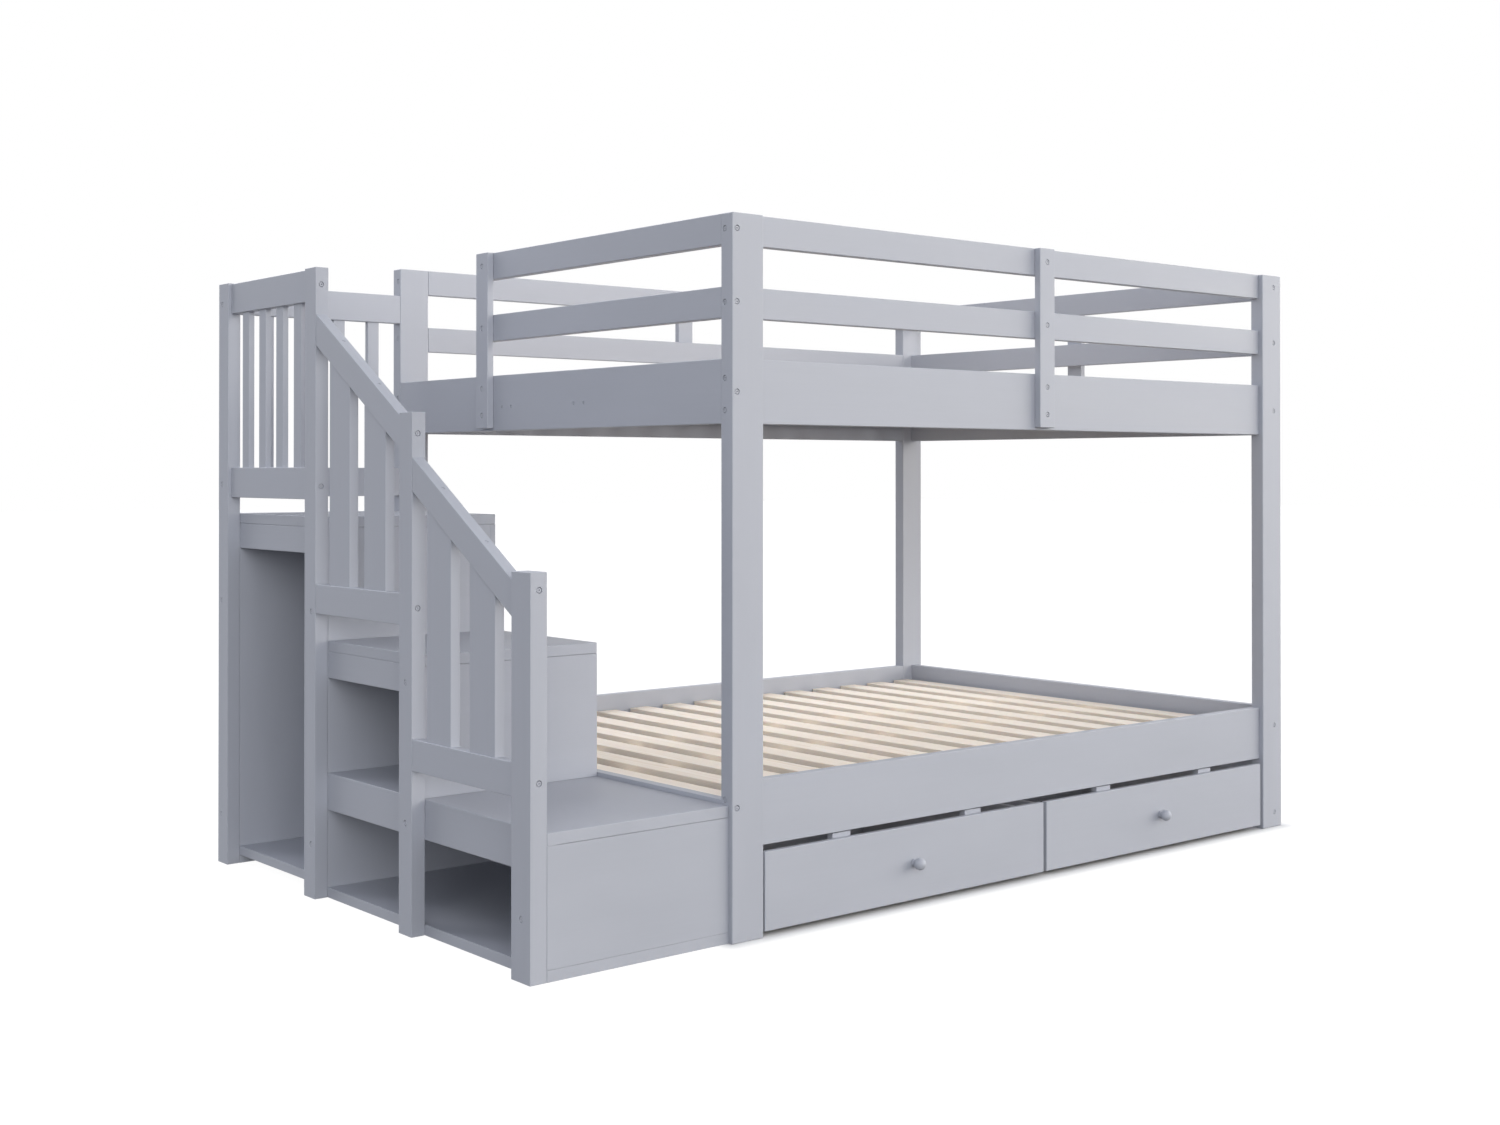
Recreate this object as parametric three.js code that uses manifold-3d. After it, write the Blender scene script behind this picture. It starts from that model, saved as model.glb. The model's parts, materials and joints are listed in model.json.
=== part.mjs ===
// Bunk bed with a storage staircase and two drawers on wheels.
// Millimetres. X runs along the bed, away from the stairs; Y runs from the front to the back; Z is up.
// The numbers below count from the outer foot of the front left bed post. The group is moved at the end,
// so that its origin is the centre of the object's base.
import * as THREE from "three";
import { ConvexGeometry } from "three/addons/geometries/ConvexGeometry.js";
import { mergeVertices } from "three/addons/utils/BufferGeometryUtils.js";
import Module from "manifold-3d";

// General
const FIT = 0.3;                       // gap between pieces that butt or rest on each other
const EASE = 1.2;                      // chamfer on every board edge
const LENGTH = 1991;                   // bed, over the posts
const WIDTH = 1450;
const HEIGHT = 1538;
const POST = { x: 86, y: 38 };         // bed post section
const BOARD = 25;                      // thickness of rails and side panels
const LEFT_INSET = 1;                  // left end boards, behind the posts' outer faces
const RIGHT_INSET = 21.5;              // right end boards, behind the posts' outer faces

// Bed heights, bottom and top of each row of boards. The upper bed hangs from the posts' tops:
// gap is between the two rows of rails, and panelGap between the lower row and the panel under it.
const GUARD_RAIL = { high: 66, gap: 89, panelGap: 86.5 };
const UPPER_PANEL_HIGH = 137.5;
const TOP_RAIL = [HEIGHT - GUARD_RAIL.high, HEIGHT];
const MIDDLE_RAIL = [TOP_RAIL[0] - GUARD_RAIL.gap - GUARD_RAIL.high, TOP_RAIL[0] - GUARD_RAIL.gap];
const UPPER_PANEL_TOP = MIDDLE_RAIL[0] - GUARD_RAIL.panelGap;
const UPPER_PANEL = [UPPER_PANEL_TOP - UPPER_PANEL_HIGH, UPPER_PANEL_TOP];
const LOWER_PANEL = [194, 335];
const LOWER_END_BOTTOM = 140;          // the lower end boards reach further down than the long ones
const LOW_LEFT_TOP = 299;              // the left lower panel stops here, level with the step on to the bed
const ENTRANCE = 995;                  // the left guard rails end here; the way in is behind it
const UPRIGHT = { wide: 54, thick: 18, short: 6 };           // short: of the upper panel's bottom

// Slats
const SLAT = { wide: 67, thick: 20, count: 16, endGap: 3, leftGap: 10, rightGap: 22 };
const UPPER_SLAT_OVER = 90;            // the upper slats' top over the upper panel's bottom
const UPPER_SLAT_TOP = UPPER_PANEL[0] + UPPER_SLAT_OVER;
const LOWER_SLAT_TOP = 290;
const BEAM = { wide: 66, thick: 22, offset: 156 };
const LEDGER = { deep: 22, high: 25 };

// Recesses for bolt and screw heads. A guard rail has one bolt at its middle height at each end;
// the others are given by their heights over the bottom of the panel that they hold.
const BOLT = { radius: 6, deep: 2.5 };
const SCREW = { radius: 3.5, deep: 1.5, spread: 20.5 };
const LONG_UPPER_BOLTS = [28, 96];
const LONG_LOWER_BOLTS = [35, 106];
const END_UPPER_BOLT = 67;
const END_LOWER_BOLT = 90;
const UPRIGHT_PANEL_BOLTS = [38, 105];
const FOOT_BOLT = 41;                  // over the floor, in the right posts

// Staircase
const POST_OUT = -488;                 // outer face of the stair posts
const POST_IN = -455;                  // inner face of the stair posts
const STAIR_POST_Y = 55;               // their depth, apart from the first one's
// y is a post's front face, and riser how far behind it the riser beside it stands. The bolts are given
// under the post's top on the front face, and over the floor on the outer face, at sideAt from the front.
const FIRST_POST = {
  out: -494, y: 12, deep: 68, riser: 0, top: 797, under: [35, 409], side: [123], sideAt: 32,
};
const SECOND_POST = { y: 481, riser: 10, top: 1119, under: [46, 419], side: [240, 540], sideAt: 27 };
const THIRD_POST = { y: 930, riser: 0, top: 1467, under: [40, 510], side: [125, 666], sideAt: 20 };
const FOURTH_POST = {
  y: WIDTH - POST.y, top: 1467, under: [], side: [123, 665, 959, 1415], sideAt: 35,
};
const BOX_LEFT = POST_IN + FIT;        // open side of the storage boxes
const BOX_RIGHT = -FIT;                // bed side of the storage boxes
const FRONT = FIRST_POST.y + FIRST_POST.riser;               // faces of the risers
const SECOND_RISER = SECOND_POST.y + SECOND_POST.riser;
const THIRD_RISER = THIRD_POST.y + THIRD_POST.riser;
const STAIR_BACK = FOURTH_POST.y + STAIR_POST_Y;
const BOX_BOARD = 18;                  // risers, back wall and aprons
const SIDE_BOARD = 15;                 // bed-side boards
const FLOOR_TOP = 23.5;
const TREAD = 25;
const SEAM = 0.01;                     // an apron reaches this far into its tread
const TREAD_TOPS = [289.5, 597.5, 885];
const APRON_DEPTHS = [86, 87, 87.6];   // from the tread's top to the apron's bottom
const HIGH_FLOOR = [21, 43.5];         // floor board of the tall box

// Staircase guards
const SLOPE = 0.62;                    // rise over run of the sloping rails
const SLOPE_DEPTH = 73;                // their depth, measured straight down
const SLOPE_GUARD = {
  thick: 27.5, shy: 1,                 // shy: how far behind the posts' outer faces
  railOverTread: 64.5, railHigh: 68, slat: 97, slatThick: 25, slatShy: 0.4,
};
const UPPER_SLOPE = { drop: 5.5, slats: [116, 282] };        // drop: the rail's low end under the post's top
const LOWER_SLOPE = { drop: 23, slats: [124, 295] };         // slats: their middles behind the lower post
const LEVEL_GUARD = { thick: 24, rail: 75, drop: 2, overTread: 41, slatThick: 15, count: 4 };
const SIDE_GUARD = { slat: 37, ends: [48.7, 55.7] };         // ends: beside the first and the last slat
const BACK_GUARD = { slat: 33, ends: [60, 61.5] };
const SEAT = 6;                        // how far a slat reaches into the rail that holds it

// Drawers
const DRAWER = {
  sideGap: 8, middleGap: 11,           // beside the fronts, and between them
  face: 4, thick: 15, bottom: 11, top: 181,                  // front
  inset: 24, deep: 600, side: 15, boxBottom: 8, boxTop: 166, // box behind it
  base: 6, baseOver: 6,                // thickness of its bottom, and its height over the sides' lower edges
  backLower: 4,                        // how far its back stays under the sides' top edges
};
const BATTEN = { offset: 212, wide: 55, thick: 18, bottom: 40, clear: 2.5 };  // clear: under the lower panel
const WHEEL = {
  radius: 17, wide: 14, pin: 4, hub: 7.5, step: 1.5, round: 1, gap: 1, frontInset: 41, backInset: 50,
};
const KNOB = { foot: 9.5, footLong: 5, ball: 14, reach: 19, neck: 8, round: 0.8 };
const LAP = 2;                         // how far boards of one piece reach into each other

const BALL_STEPS = 9;                  // rings of flat faces round a knob's ball
const HOLE_SIDES = 12;                 // flat faces round a bolt's recess

const wasm = await Module();
wasm.setup();

const paint = () => new THREE.MeshStandardMaterial({ color: 0xb4b6bf, roughness: 0.45, metalness: 0 });
const pine = () => new THREE.MeshStandardMaterial({ color: 0xe3d6c2, roughness: 0.7, metalness: 0 });
const plastic = () => new THREE.MeshStandardMaterial({ color: 0x2b2b2e, roughness: 0.5, metalness: 0 });

/** A closed geometry as a manifold, with doubled points joined and flat triangles left out. */
function solid(geometry) {
  const bare = geometry.clone();
  for (const name of ["normal", "uv"]) if (bare.attributes[name]) bare.deleteAttribute(name);
  const joined = mergeVertices(bare, 1e-4);
  const index = [];
  for (let i = 0; i < joined.index.count; i += 3) {
    const [a, b, c] = [0, 1, 2].map((k) => joined.index.getX(i + k));
    if (a !== b && b !== c && a !== c) index.push(a, b, c);
  }
  return new wasm.Manifold(new wasm.Mesh({
    numProp: 3,
    vertProperties: new Float32Array(joined.attributes.position.array),
    triVerts: new Uint32Array(index),
  }));
}

/** A board between two corners, with every edge chamfered. */
function board([x0, x1], [y0, y1], [z0, z1], ease = EASE) {
  const points = [];
  for (const [x, dx] of [[x0, ease], [x1, -ease]]) {
    for (const [y, dy] of [[y0, ease], [y1, -ease]]) {
      for (const [z, dz] of [[z0, ease], [z1, -ease]]) {
        points.push(new THREE.Vector3(x, y + dy, z + dz));
        points.push(new THREE.Vector3(x + dx, y, z + dz));
        points.push(new THREE.Vector3(x + dx, y + dy, z));
      }
    }
  }
  return solid(new ConvexGeometry(points));
}

/** Several solids joined into one. */
const join = (...parts) => parts.reduce((sum, part) => sum.add(part));

/** A round bar along X, Y or Z, centred on a point. */
function bar(radius, long, axis, [x, y, z], segments = 20) {
  const geometry = new THREE.CylinderGeometry(radius, radius, long, segments);
  if (axis === "x") geometry.rotateZ(Math.PI / 2);
  if (axis === "z") geometry.rotateX(Math.PI / 2);
  return solid(geometry.translate(x, y, z));
}

/** A turned shape: [radius, distance] steps along an axis that points out of a face, from a point on it. */
function turned(profile, direction, [x, y, z], segments = 24) {
  const points = profile.map(([r, t]) => new THREE.Vector2(r, t));
  const geometry = new THREE.LatheGeometry(points, segments);
  const turn = new THREE.Quaternion().setFromUnitVectors(new THREE.Vector3(0, 1, 0), direction);
  return solid(geometry.applyQuaternion(turn).translate(x, y, z));
}

/** Shallow round recesses for bolt heads: each is cut into the face that a point lies on. */
function recessed(part, axis, points, size = BOLT) {
  const hole = (at) => bar(size.radius, 2 * size.deep, axis, at, HOLE_SIDES);
  return points.reduce((rest, at) => rest.subtract(hole(at)), part);
}

const root = new THREE.Group();
root.name = "bunk_bed_with_drawers";

/** Adds a solid to the object as a named piece. */
function piece(name, part, material) {
  const { vertProperties, triVerts, numProp } = part.getMesh();
  const position = new Float32Array((vertProperties.length / numProp) * 3);
  for (let i = 0; i * numProp < vertProperties.length; i++) {
    for (let k = 0; k < 3; k++) position[3 * i + k] = vertProperties[i * numProp + k];
  }
  const geometry = new THREE.BufferGeometry();
  geometry.setAttribute("position", new THREE.BufferAttribute(position, 3));
  geometry.setIndex(new THREE.BufferAttribute(new Uint32Array(triVerts), 1));
  geometry.computeVertexNormals();
  const mesh = new THREE.Mesh(geometry, material);
  mesh.name = name;
  root.add(mesh);
  return mesh;
}

// Bed posts, with recesses in the outer faces for the bolts into the rails' ends
const END_X = { left: LEFT_INSET, right: LENGTH - RIGHT_INSET - BOARD };     // near faces of the end boards
const LONG_Y = { front: POST.y - BOARD, back: WIDTH - POST.y };               // near faces of the long boards
const guardBolts = [TOP_RAIL, MIDDLE_RAIL].map(([low, high]) => (low + high) / 2);
for (const end of ["left", "right"]) {
  for (const side of ["front", "back"]) {
    const x = end === "left" ? 0 : LENGTH;
    const y = side === "front" ? 0 : WIDTH;
    const xs = end === "left" ? [0, POST.x] : [LENGTH - POST.x, LENGTH];
    const ys = side === "front" ? [0, POST.y] : [WIDTH - POST.y, WIDTH];
    const boltX = END_X[end] + BOARD / 2;
    const boltY = LONG_Y[side] + BOARD / 2;
    const outwards = [...guardBolts, UPPER_PANEL[0] + END_UPPER_BOLT, LOWER_PANEL[0] + END_LOWER_BOLT];
    if (end === "right") outwards.push(FOOT_BOLT);
    const sideways = [...guardBolts, ...LONG_UPPER_BOLTS.map((z) => UPPER_PANEL[0] + z),
      ...LONG_LOWER_BOLTS.map((z) => LOWER_PANEL[0] + z)];
    let post = board(xs, ys, [0, HEIGHT]);
    post = recessed(post, "y", outwards.map((z) => [boltX, y, z]));
    post = recessed(post, "x", sideways.map((z) => [x, boltY, z]));
    piece(`post_${side}_${end}`, post, paint());
  }
}

// Long boards, between the posts; the panels carry a ledger for the slats
const between = [POST.x + FIT, LENGTH - POST.x - FIT];
for (const side of ["front", "back"]) {
  const ys = [LONG_Y[side], LONG_Y[side] + BOARD];
  const ledgerY = side === "front"
    ? [ys[1] - EASE, ys[1] + LEDGER.deep] : [ys[0] - LEDGER.deep, ys[0] + EASE];
  piece(`guard_top_${side}`, board(between, ys, TOP_RAIL), paint());
  piece(`guard_middle_${side}`, board(between, ys, MIDDLE_RAIL), paint());
  const levels = [["upper", UPPER_PANEL, UPPER_SLAT_TOP], ["lower", LOWER_PANEL, LOWER_SLAT_TOP]];
  for (const [level, zs, slatTop] of levels) {
    const seat = slatTop - SLAT.thick - FIT;
    const ledger = board(between, ledgerY, [seat - LEDGER.high, seat], 0.5);
    piece(`${level}_panel_${side}`, join(board(between, ys, zs), ledger), paint());
  }
}

// End boards, between the front and back posts
const across = [POST.y + FIT, WIDTH - POST.y - FIT];
const beamY = [-1, 1].map((k) => WIDTH / 2 + k * BEAM.offset);
for (const end of ["left", "right"]) {
  const xs = [END_X[end], END_X[end] + BOARD];
  const rail = end === "left" ? [across[0], ENTRANCE] : across;
  const outer = end === "left" ? xs[0] : xs[1];
  const screws = beamY.flatMap((y) => [-1, 1].map((k) => [outer, y + k * SCREW.spread,
    UPPER_SLAT_TOP - SLAT.thick - BEAM.thick / 2]));
  piece(`guard_top_${end}`, board(xs, rail, TOP_RAIL), paint());
  piece(`guard_middle_${end}`, board(xs, rail, MIDDLE_RAIL), paint());
  piece(`upper_panel_${end}`, recessed(board(xs, across, UPPER_PANEL), "x", screws, SCREW), paint());
  const lowerTop = end === "left" ? LOW_LEFT_TOP : LOWER_PANEL[1];
  piece(`lower_panel_${end}`, board(xs, across, [LOWER_END_BOTTOM, lowerTop]), paint());
}

// Short uprights, bolted to the outer faces of the rails and panels
const upright = [UPPER_PANEL[0] + UPRIGHT.short, HEIGHT];
const middleX = [(LENGTH - UPRIGHT.wide) / 2, (LENGTH + UPRIGHT.wide) / 2];
const middleY = [(WIDTH - UPRIGHT.wide) / 2, (WIDTH + UPRIGHT.wide) / 2];
const frontFace = LONG_Y.front - FIT - UPRIGHT.thick;
const backFace = LONG_Y.back + BOARD + FIT + UPRIGHT.thick;
const leftFace = END_X.left - FIT - UPRIGHT.thick;
const rightFace = END_X.right + BOARD + FIT + UPRIGHT.thick;
const uprights = {
  front: [middleX, [frontFace, frontFace + UPRIGHT.thick], "y", (z) => [LENGTH / 2, frontFace, z]],
  back: [middleX, [backFace - UPRIGHT.thick, backFace], "y", (z) => [LENGTH / 2, backFace, z]],
  left: [[leftFace, leftFace + UPRIGHT.thick], [ENTRANCE - UPRIGHT.wide, ENTRANCE], "x",
    (z) => [leftFace, ENTRANCE - UPRIGHT.wide / 2, z]],
  right: [[rightFace - UPRIGHT.thick, rightFace], middleY, "x", (z) => [rightFace, WIDTH / 2, z]],
};
for (const [side, [xs, ys, axis, at]] of Object.entries(uprights)) {
  const bolts = [...guardBolts, ...UPRIGHT_PANEL_BOLTS.map((z) => UPPER_PANEL[0] + z)];
  piece(`upright_${side}`, recessed(board(xs, ys, upright), axis, bolts.map(at)), paint());
}

// Slat bases: slats across the bed, screwed down on two lengthwise beams
for (const [level, top] of [["upper", UPPER_SLAT_TOP], ["lower", LOWER_SLAT_TOP]]) {
  const slatY = [POST.y + SLAT.endGap, WIDTH - POST.y - SLAT.endGap];
  const slatZ = [top - SLAT.thick, top];
  const beamX = [END_X.left + BOARD + FIT, END_X.right - FIT];
  const beamZ = [slatZ[0] - BEAM.thick, slatZ[0] + EASE];
  let base = join(...beamY.map((y) => board(beamX, [y - BEAM.wide / 2, y + BEAM.wide / 2], beamZ, 1)));
  const first = END_X.left + BOARD + SLAT.leftGap;
  const pitch = (END_X.right - SLAT.rightGap - SLAT.wide - first) / (SLAT.count - 1);
  for (let i = 0; i < SLAT.count; i++) {
    const x = first + i * pitch;
    base = base.add(board([x, x + SLAT.wide], slatY, slatZ, 1));
  }
  piece(`${level}_slat_base`, base, pine());
}

// Drawers: front with two battens, knob, box with its wheel pins, and four wheels
const clear = [POST.x + DRAWER.sideGap, LENGTH - POST.x - DRAWER.sideGap];
const frontWide = (clear[1] - clear[0] - DRAWER.middleGap) / 2;
for (const [name, x0] of [["left", clear[0]], ["right", clear[1] - frontWide]]) {
  const x1 = x0 + frontWide;
  const middle = (x0 + x1) / 2;
  const back = DRAWER.face + DRAWER.thick;
  const battens = [-1, 1].map((k) => {
    const at = middle + k * BATTEN.offset;
    return board([at - BATTEN.wide / 2, at + BATTEN.wide / 2], [back - EASE, back + BATTEN.thick],
      [BATTEN.bottom, LOWER_PANEL[0] - BATTEN.clear], 0.8);
  });
  const front = board([x0, x1], [DRAWER.face, back], [DRAWER.bottom, DRAWER.top]);
  piece(`drawer_${name}_front`, join(front, ...battens), paint());

  const ball = [];
  const neckAngle = Math.asin(KNOB.neck / KNOB.ball);
  for (let i = 0; i < BALL_STEPS; i++) {
    const angle = neckAngle + ((Math.PI - neckAngle) * i) / BALL_STEPS;
    ball.push([KNOB.ball * Math.sin(angle), KNOB.reach - KNOB.ball * Math.cos(angle)]);
  }
  const footEdge = KNOB.foot - KNOB.round;
  const foot = [[0, FIT], [footEdge, FIT], [KNOB.foot, FIT + KNOB.round],
    [KNOB.foot, KNOB.footLong - KNOB.round], [footEdge, KNOB.footLong], [KNOB.neck, KNOB.footLong]];
  const knobProfile = [...foot, ...ball, [0, KNOB.reach + KNOB.ball]];
  piece(`drawer_${name}_knob`, turned(knobProfile, new THREE.Vector3(0, -1, 0),
    [middle, DRAWER.face, (DRAWER.bottom + DRAWER.top) / 2]), paint());

  const boxX = [x0 + DRAWER.inset, x1 - DRAWER.inset];
  const boxY = [back + FIT, back + FIT + DRAWER.deep];
  const boxZ = [DRAWER.boxBottom, DRAWER.boxTop];
  const baseZ = DRAWER.boxBottom + DRAWER.baseOver;
  let box = join(
    board([boxX[0], boxX[0] + DRAWER.side], boxY, boxZ, 0.8),
    board([boxX[1] - DRAWER.side, boxX[1]], boxY, boxZ, 0.8),
    board([boxX[0] + LAP, boxX[1] - LAP], [boxY[1] - DRAWER.side, boxY[1]],
      [boxZ[0] + LAP, boxZ[1] - DRAWER.backLower], 0.8),
    board([boxX[0] + 2 * LAP, boxX[1] - 2 * LAP], [boxY[0], boxY[1] - 2 * LAP],
      [baseZ, baseZ + DRAWER.base], 0.5),
  );
  const axles = { front: boxY[0] + WHEEL.frontInset, back: boxY[1] - WHEEL.backInset };
  for (const [end, faceX, way] of [["left", boxX[0], -1], ["right", boxX[1], 1]]) {
    for (const [place, y] of Object.entries(axles)) {
      const pinLong = LAP + WHEEL.gap + WHEEL.wide + WHEEL.gap;
      const pinX = faceX + way * (pinLong / 2 - LAP);
      box = box.add(bar(WHEEL.pin, pinLong, "x", [pinX, y, WHEEL.radius]));
      const bore = WHEEL.pin + FIT;
      const [near, far] = [WHEEL.gap, WHEEL.gap + WHEEL.wide];
      const rim = near + WHEEL.step;
      const wheelProfile = [[bore, near], [WHEEL.hub, near], [WHEEL.hub, rim], [WHEEL.radius, rim],
        [WHEEL.radius, far - WHEEL.round], [WHEEL.radius - WHEEL.round, far], [bore, far], [bore, near]];
      piece(`drawer_${name}_wheel_${place}_${end}`,
        turned(wheelProfile, new THREE.Vector3(way, 0, 0), [faceX, y, WHEEL.radius]), plastic());
    }
  }
  piece(`drawer_${name}_box`, box, pine());
}

// Staircase posts
const slopeOut = POST_OUT + SLOPE_GUARD.shy;
const stairPosts = [FIRST_POST, SECOND_POST, THIRD_POST, FOURTH_POST];
stairPosts.forEach(({ out = POST_OUT, y, deep = STAIR_POST_Y, top, under, side, sideAt }, i) => {
  let post = board([out, POST_IN], [y, y + deep], [0, top]);
  post = recessed(post, "y", under.map((z) => [slopeOut + SLOPE_GUARD.thick / 2, y, top - z]));
  post = recessed(post, "x", side.map((z) => [out, y + sideAt, z]));
  piece(`stair_post_${i + 1}`, post, paint());
});

// Storage boxes under the treads
const boxWide = [BOX_LEFT, BOX_RIGHT];
const apronX = [BOX_LEFT, BOX_LEFT + BOX_BOARD];
const sideX = [BOX_RIGHT - SIDE_BOARD, BOX_RIGHT];
const innerX = [BOX_LEFT, sideX[0] - FIT];
const undersides = TREAD_TOPS.map((top) => top - TREAD);
const aprons = TREAD_TOPS.map((top, i) => top - APRON_DEPTHS[i]);
const lowBox = [FLOOR_TOP + FIT, undersides[0] - FIT];                        // heights between the boards
const middleBox = [TREAD_TOPS[0] + FIT, undersides[1] - FIT];
const tallBox = [0, undersides[2] - FIT];
const behindFirst = [FRONT + BOX_BOARD + FIT, THIRD_RISER - FIT];             // depths behind each riser
const behindSecond = [SECOND_RISER + BOX_BOARD + FIT, THIRD_RISER - FIT];
const behindThird = [THIRD_RISER + BOX_BOARD + FIT, FOURTH_POST.y - FIT];

piece("floor_board_low", board(boxWide, [FRONT, THIRD_RISER - FIT], [0, FLOOR_TOP]), paint());
piece("riser_1", board(boxWide, [FRONT, FRONT + BOX_BOARD], lowBox), paint());
piece("side_board_low", board(sideX, behindFirst, lowBox), paint());
piece("tread_1_and_shelf", join(
  board(boxWide, [FRONT, THIRD_RISER - FIT], [undersides[0], TREAD_TOPS[0]]),
  board(apronX, behindFirst, [aprons[0], TREAD_TOPS[0]]),
), paint());
piece("riser_2", board(boxWide, [SECOND_RISER, SECOND_RISER + BOX_BOARD], middleBox), paint());
piece("side_board_middle", board(sideX, behindSecond, middleBox), paint());
piece("tread_2", join(
  board(boxWide, [SECOND_RISER, THIRD_RISER - FIT], [undersides[1], TREAD_TOPS[1]]),
  board(apronX, behindSecond, [aprons[1], undersides[1] + SEAM]),
), paint());
piece("riser_3_partition", board(innerX, [THIRD_RISER, THIRD_RISER + BOX_BOARD], tallBox), paint());
piece("side_board_tall", board(sideX, [THIRD_RISER, STAIR_BACK - BOX_BOARD], tallBox), paint());
piece("back_wall", board(innerX, [FOURTH_POST.y, FOURTH_POST.y + BOX_BOARD], tallBox), paint());
piece("floor_board_high", board(innerX, behindThird, HIGH_FLOOR), paint());
piece("tread_3", join(
  board(boxWide, [THIRD_RISER, STAIR_BACK], [undersides[2], TREAD_TOPS[2]]),
  board(apronX, behindThird, [aprons[2], undersides[2] + SEAM]),
), paint());

/** A sloping rail between two places along Y, with its top at height low at the lower end. */
function slopingRail(y0, y1, low) {
  const high = low + (y1 - y0) * SLOPE;
  const outline = new THREE.Shape([[y0, low - SLOPE_DEPTH], [y1, high - SLOPE_DEPTH], [y1, high], [y0, low]]
    .map(([y, z]) => new THREE.Vector2(y, z)));
  const geometry = new THREE.ExtrudeGeometry(outline, {
    depth: SLOPE_GUARD.thick - 2 * EASE, bevelEnabled: true, bevelThickness: EASE,
    bevelSize: EASE, bevelOffset: -EASE, bevelSegments: 1,
  });
  const turn = new THREE.Matrix4().set(0, 0, 1, slopeOut + EASE, 1, 0, 0, 0, 0, 1, 0, 0, 0, 0, 0, 1);
  geometry.applyMatrix4(turn);         // the outline's X becomes Y, its Y becomes Z, and its depth X
  return solid(geometry);
}

/** A sloping guard between two posts: sloping rail, level rail over the tread and two upright slats. */
function slopingGuard(lower, upper, tread, { drop, slats }) {
  const [y0, y1] = [lower.y + (lower.deep ?? STAIR_POST_Y) + FIT, upper.y - FIT];
  const low = lower.top - drop;
  const rail = [tread + SLOPE_GUARD.railOverTread, tread + SLOPE_GUARD.railOverTread + SLOPE_GUARD.railHigh];
  const slatX = [slopeOut + SLOPE_GUARD.slatShy, slopeOut + SLOPE_GUARD.slatShy + SLOPE_GUARD.slatThick];
  let guard = join(slopingRail(y0, y1, low), board([slopeOut, slopeOut + SLOPE_GUARD.thick], [y0, y1], rail));
  for (const middle of slats) {
    const [near, far] = [-1, 1].map((k) => y0 + middle + (k * SLOPE_GUARD.slat) / 2);
    const underRail = low - SLOPE_DEPTH + (far - y0) * SLOPE;
    guard = guard.add(board(slatX, [near, far], [rail[1] - SEAT, underRail + SEAT], 1));
  }
  return guard;
}
piece("stair_guard_upper", slopingGuard(SECOND_POST, THIRD_POST, TREAD_TOPS[1], UPPER_SLOPE), paint());
piece("stair_guard_lower", slopingGuard(FIRST_POST, SECOND_POST, TREAD_TOPS[0], LOWER_SLOPE), paint());

/** A level guard: two rails with thin slats between them, along Y or along X. */
function levelGuard(along, [from, to], face, { slat, ends }) {
  const place = (span, depth, zs, ease) => (along === "y"
    ? board(depth, span, zs, ease) : board(span, depth, zs, ease));
  const depth = [face, face + LEVEL_GUARD.thick];
  const top = FOURTH_POST.top - LEVEL_GUARD.drop;
  const bottom = TREAD_TOPS[2] + LEVEL_GUARD.overTread;
  const slatZ = [bottom + LEVEL_GUARD.rail - SEAT, top - LEVEL_GUARD.rail + SEAT];
  const slatFace = face + (LEVEL_GUARD.thick - LEVEL_GUARD.slatThick) / 2;
  const pitch = (to - from - ends[0] - ends[1] - slat) / (LEVEL_GUARD.count - 1);
  let guard = join(place([from, to], depth, [top - LEVEL_GUARD.rail, top]),
    place([from, to], depth, [bottom, bottom + LEVEL_GUARD.rail]));
  for (let i = 0; i < LEVEL_GUARD.count; i++) {
    const start = from + ends[0] + i * pitch;
    guard = guard.add(place([start, start + slat], [slatFace, slatFace + LEVEL_GUARD.slatThick], slatZ, 1));
  }
  return guard;
}
const sideSpan = [THIRD_POST.y + STAIR_POST_Y + FIT, FOURTH_POST.y - FIT];
piece("stair_guard_side", levelGuard("y", sideSpan, POST_IN - LEVEL_GUARD.thick, SIDE_GUARD), paint());
piece("stair_guard_back", levelGuard("x", [POST_IN + FIT, -FIT], FOURTH_POST.y, BACK_GUARD), paint());

// The origin goes to the centre of the base
const bounds = new THREE.Box3().setFromObject(root, true);
const centre = bounds.getCenter(new THREE.Vector3());
for (const mesh of root.children) mesh.geometry.translate(-centre.x, -centre.y, -bounds.min.z);
root.updateMatrixWorld(true);

export default root;
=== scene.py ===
# %% [markdown]
# # A bunk bed with a staircase and drawers
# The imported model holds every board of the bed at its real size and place. This lesson gives the boards
# what a joiner and a painter give them: edges rolled over by sanding, seats for the bolt heads, a satin
# finish on the painted wood, and growth rings on the bare slats. Each new piece takes its place from the
# model's own boxes, so nothing has to be fitted by eye.

import json
import math

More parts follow.
